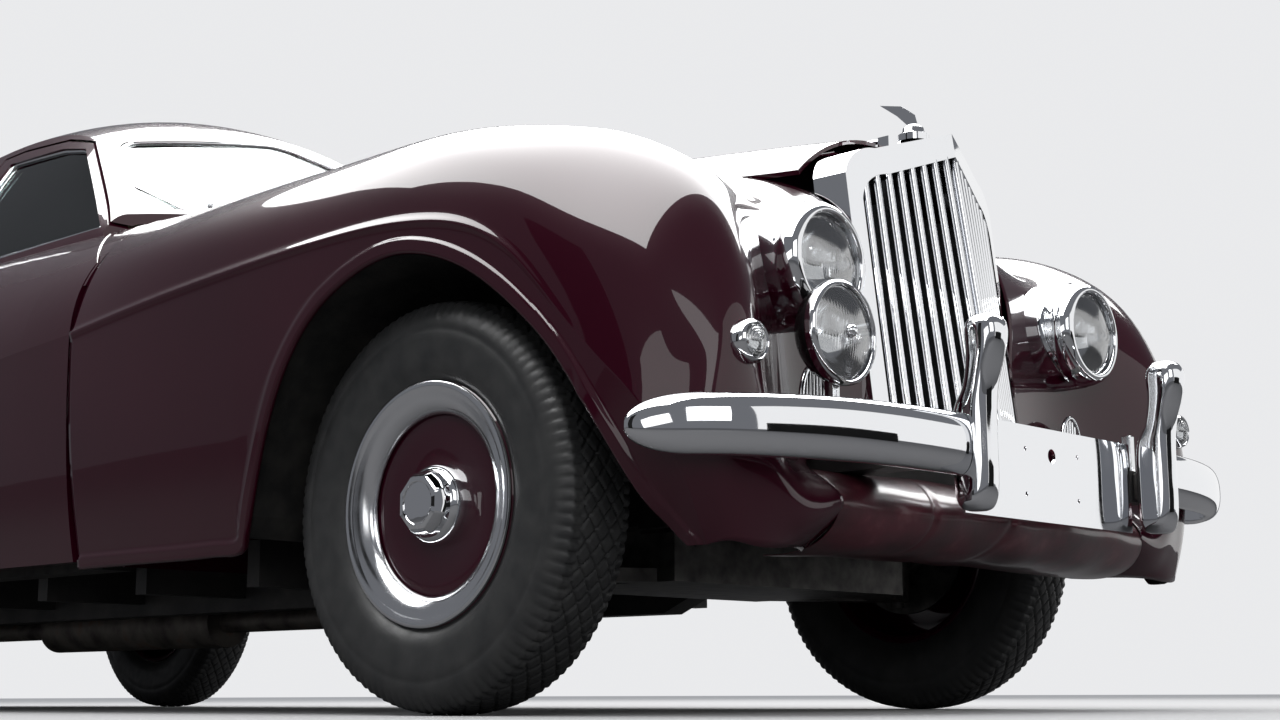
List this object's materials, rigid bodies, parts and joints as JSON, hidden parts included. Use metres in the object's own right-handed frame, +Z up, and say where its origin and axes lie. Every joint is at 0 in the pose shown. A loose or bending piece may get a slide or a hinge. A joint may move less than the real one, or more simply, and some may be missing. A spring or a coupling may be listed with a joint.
{
  "type": "car",
  "caption": "Two-door fastback touring car of the 1950s with separate flowing wings, upright chrome radiator shell, doors, split bonnet, boot lid, steering and turning wheels.",
  "frame": {"origin": "on the ground below the middle of the car's bounding box", "axes": "+Z up, +Y towards the tail, so the car faces -Y, and +X towards the car's left side"},
  "size_m": [1.818, 5.248, 1.6007],
  "materials": {
    "body_paint": "deep maroon gloss paint, dull and scuffed on the front apron",
    "wheel_paint": "maroon gloss paint",
    "chassis_black": "dusty black paint",
    "suspension_steel": "dull dark steel",
    "exhaust_steel": "dull, lightly rusted",
    "engine_iron": "rough casting",
    "chrome": "polished chrome",
    "glass": "clear",
    "tail_red": "red lens",
    "tyre": "black sidewall",
    "leather": "worn beige hide",
    "wood": "polished veneer",
    "black_plastic": "gloss black"
  },
  "bodies": {
    "body": {"body_side_left": "body_paint", "body_side_right": "body_paint", "bonnet_hinge": "chrome", "bumper_plate": "chrome", "chassis_frame": "chassis_black", "dashboard": "wood", "engine_block": "engine_iron", "exhaust": "exhaust_steel", "floor_pan": "chassis_black", "fog_lamp": "chrome", "front_apron": "body_paint", "front_bumper": "chrome", "front_seats": "leather", "front_suspension": "suspension_steel", "front_wing_left": "body_paint", "front_wing_right": "body_paint", "fuel_tank": "chassis_black", "headlamps": "chrome", "lamp_lenses": "glass", "leaf_springs": "chassis_black", "overriders_front": "chrome", "quarter_windows": "glass", "radiator_cap": "chrome", "radiator_core": "chassis_black", "radiator_grille": "chrome", "radiator_shell": "chrome", "rear_axle": "chassis_black", "rear_bumper": "chrome", "rear_seat": "leather", "rear_window": "glass", "roof_panel": "body_paint", "scuttle": "body_paint", "sidelamps": "chrome", "steering_wheel": "black_plastic", "tail_lamps": "tail_red", "tail_panel": "body_paint", "wheelhouses": "chassis_black", "windscreen": "glass"},
    "door_left": {"door_left": "body_paint", "door_glass_left": "glass"},
    "bonnet_left": {"bonnet_left": "body_paint"},
    "knuckle_left": {"knuckle_left": "suspension_steel"},
    "wheel_front_left": {"tyre_front_left": "tyre", "wheel_front_left": "wheel_paint", "wheel_trim_front_left": "chrome"},
    "wheel_rear_left": {"tyre_rear_left": "tyre", "wheel_rear_left": "wheel_paint", "wheel_trim_rear_left": "chrome"},
    "door_right": {"door_right": "body_paint", "door_glass_right": "glass"},
    "bonnet_right": {"bonnet_right": "body_paint"},
    "knuckle_right": {"knuckle_right": "suspension_steel"},
    "wheel_front_right": {"tyre_front_right": "tyre", "wheel_front_right": "wheel_paint", "wheel_trim_front_right": "chrome"},
    "wheel_rear_right": {"tyre_rear_right": "tyre", "wheel_rear_right": "wheel_paint", "wheel_trim_rear_right": "chrome"},
    "boot_lid": {"boot_lid": "body_paint"}
  },
  "joints": [
    {"name": "door_left_hinge", "type": "hinge", "parent": "body", "child": "door_left", "pos_m": [0.845, -0.77, 0.65], "axis": [0, 0, -1], "range_deg": [0, 65]},
    {"name": "bonnet_left_hinge", "type": "hinge", "parent": "body", "child": "bonnet_left", "pos_m": [0, -2.167, 1.108], "axis": [0, -0.9977, -0.0683], "range_deg": [0, 55]},
    {"name": "steer_left", "type": "hinge", "parent": "body", "child": "knuckle_left", "pos_m": [0.632, -1.742, 0.38], "axis": [0, 0, 1], "range_deg": [-28, 28]},
    {"name": "wheel_spin_front_left", "type": "hinge", "parent": "knuckle_left", "child": "wheel_front_left", "pos_m": [0.7205, -1.742, 0.365], "axis": [1, 0, 0], "continuous": true},
    {"name": "wheel_spin_rear_left", "type": "hinge", "parent": "body", "child": "wheel_rear_left", "pos_m": [0.743, 1.306, 0.365], "axis": [1, 0, 0], "continuous": true},
    {"name": "door_right_hinge", "type": "hinge", "parent": "body", "child": "door_right", "pos_m": [-0.845, -0.77, 0.65], "axis": [0, 0, 1], "range_deg": [0, 65]},
    {"name": "bonnet_right_hinge", "type": "hinge", "parent": "body", "child": "bonnet_right", "pos_m": [0, -2.167, 1.108], "axis": [0, 0.9977, 0.0683], "range_deg": [0, 55]},
    {"name": "steer_right", "type": "hinge", "parent": "body", "child": "knuckle_right", "pos_m": [-0.632, -1.742, 0.38], "axis": [0, 0, 1], "range_deg": [-28, 28]},
    {"name": "wheel_spin_front_right", "type": "hinge", "parent": "knuckle_right", "child": "wheel_front_right", "pos_m": [-0.7205, -1.742, 0.365], "axis": [1, 0, 0], "continuous": true},
    {"name": "wheel_spin_rear_right", "type": "hinge", "parent": "body", "child": "wheel_rear_right", "pos_m": [-0.743, 1.306, 0.365], "axis": [1, 0, 0], "continuous": true},
    {"name": "boot_hinge", "type": "hinge", "parent": "body", "child": "boot_lid", "pos_m": [0, 1.5845, 1.318], "axis": [1, 0, 0], "range_deg": [0, 70]}
  ],
  "couplings": [
    {"joint": "steer_left", "follows": "steer_right", "ratio": 1}
  ]
}
